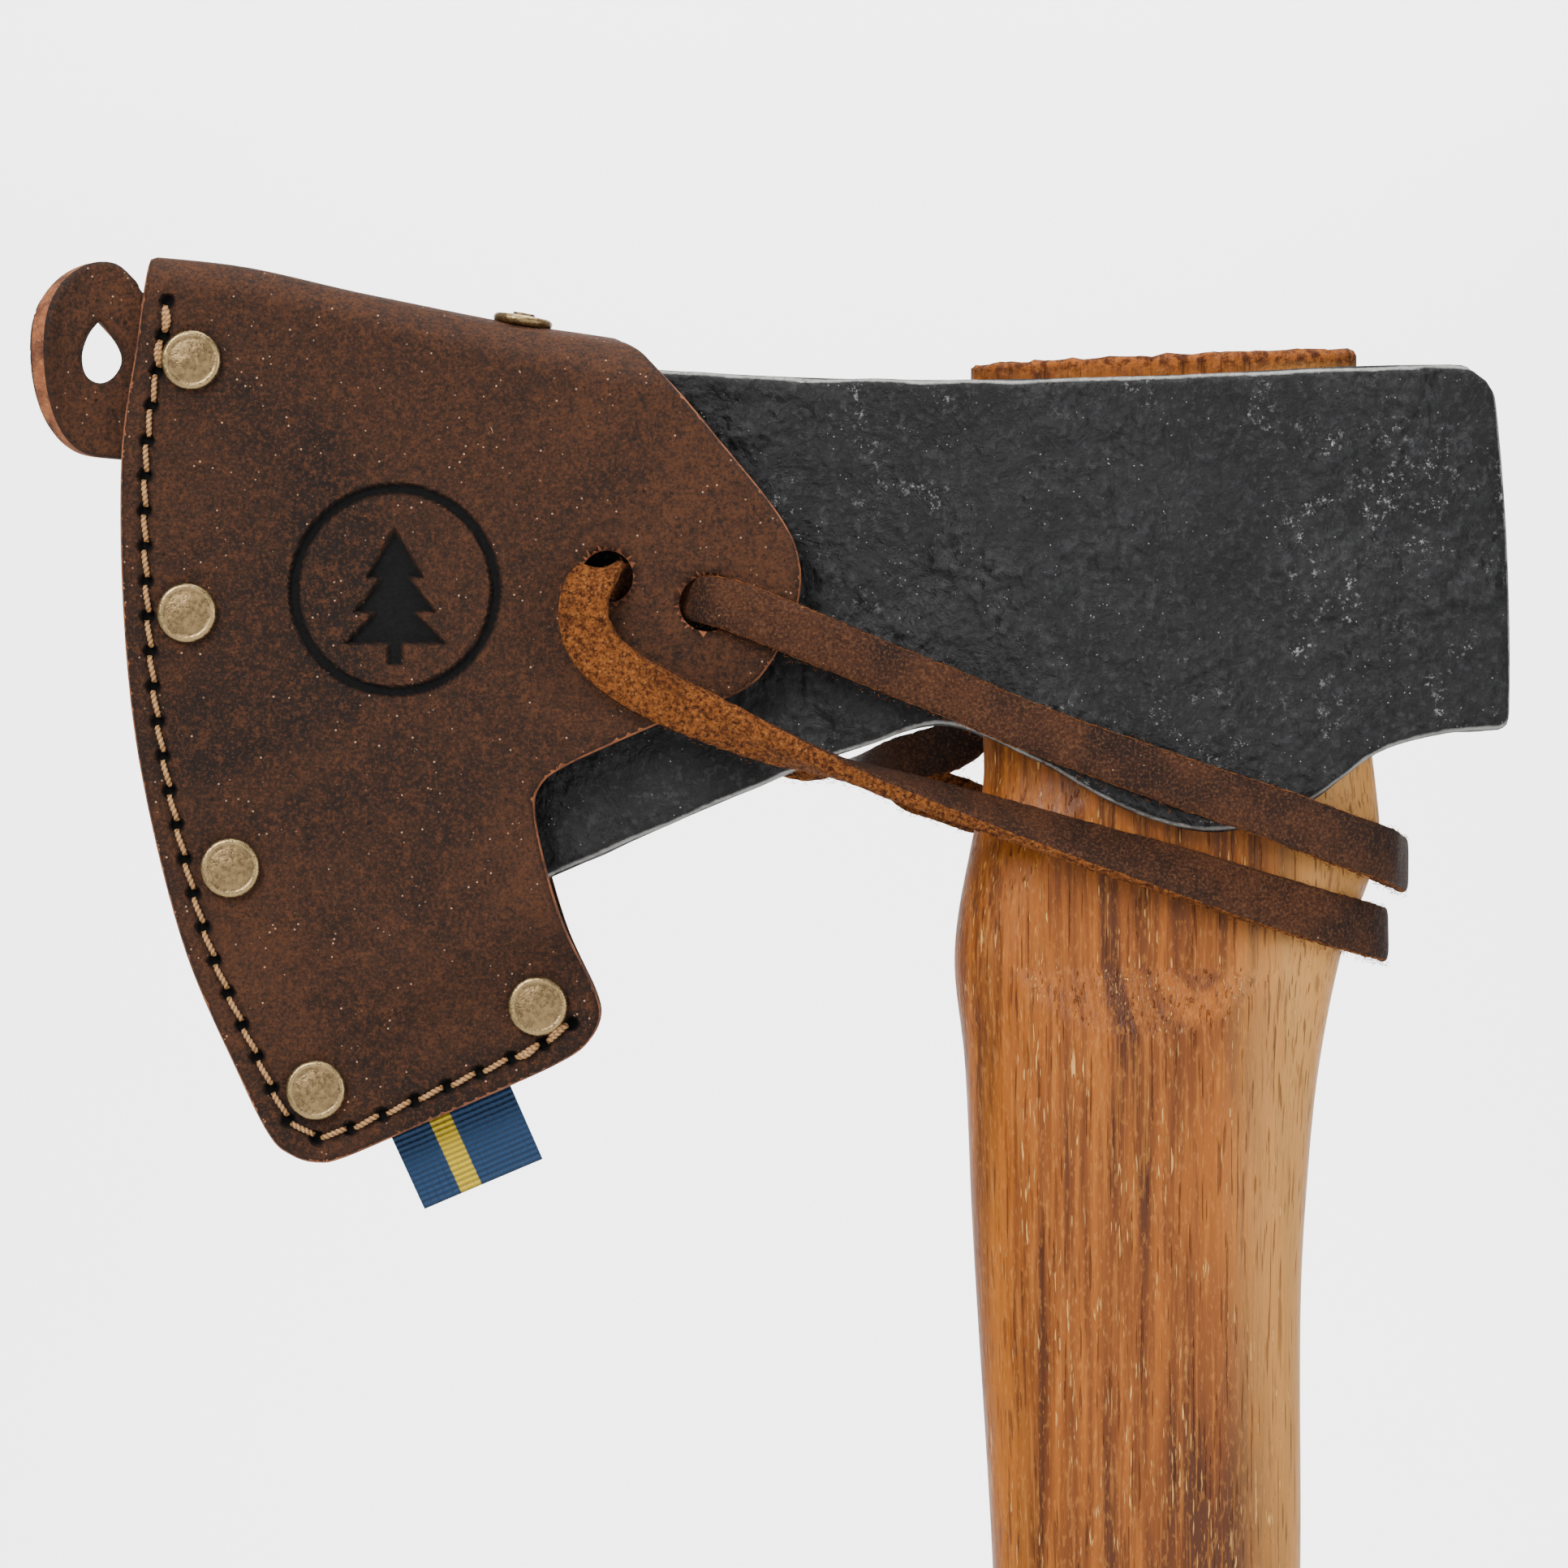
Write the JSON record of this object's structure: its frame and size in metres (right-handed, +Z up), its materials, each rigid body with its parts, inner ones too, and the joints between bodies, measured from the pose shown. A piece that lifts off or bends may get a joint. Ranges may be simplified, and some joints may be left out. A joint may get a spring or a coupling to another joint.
{
  "type": "felling axe",
  "caption": "Felling axe with forged head on a curved wooden handle, bit covered by a riveted leather sheath laced round the handle.",
  "frame": {"origin": "centre line of the eye's height axis at the handle's flat butt end", "axes": "+Z up the handle to the head, -X to the cutting edge, +X to the poll, -Y the near cheek"},
  "size_m": [0.1967, 0.0322, 0.6729],
  "materials": {
    "axe_head": "satin black forge scale",
    "handle": "oiled",
    "wedge": "raw",
    "sheath_leather": "nubuck",
    "welt_leather": "raw edge",
    "woven_tag": "woven",
    "rivet_brass": "antique",
    "thread": "waxed",
    "lace_leather": "suede"
  },
  "bodies": {
    "axe": {"axe_head": "axe_head", "handle": "handle", "eye_wedge": "wedge"},
    "sheath": {"sheath_leather": "sheath_leather", "edge_welt": "welt_leather", "hang_tab": "sheath_leather", "woven_tag": "woven_tag", "stud_cap": "rivet_brass", "stud_post": "rivet_brass", "thread_near": "thread", "thread_far": "thread", "lace": "lace_leather", "rivet_cap_1": "rivet_brass", "rivet_post_1": "rivet_brass", "rivet_cap_2": "rivet_brass", "rivet_post_2": "rivet_brass", "rivet_cap_3": "rivet_brass", "rivet_post_3": "rivet_brass", "rivet_cap_4": "rivet_brass", "rivet_post_4": "rivet_brass", "rivet_cap_5": "rivet_brass", "rivet_post_5": "rivet_brass"}
  },
  "joints": [
    {"name": "sheath_slide", "type": "slide", "parent": "axe", "child": "sheath", "axis": [-0.9929, 0, 0.1191], "range_m": [0, 0.17], "deforming": ["lace"]}
  ]
}
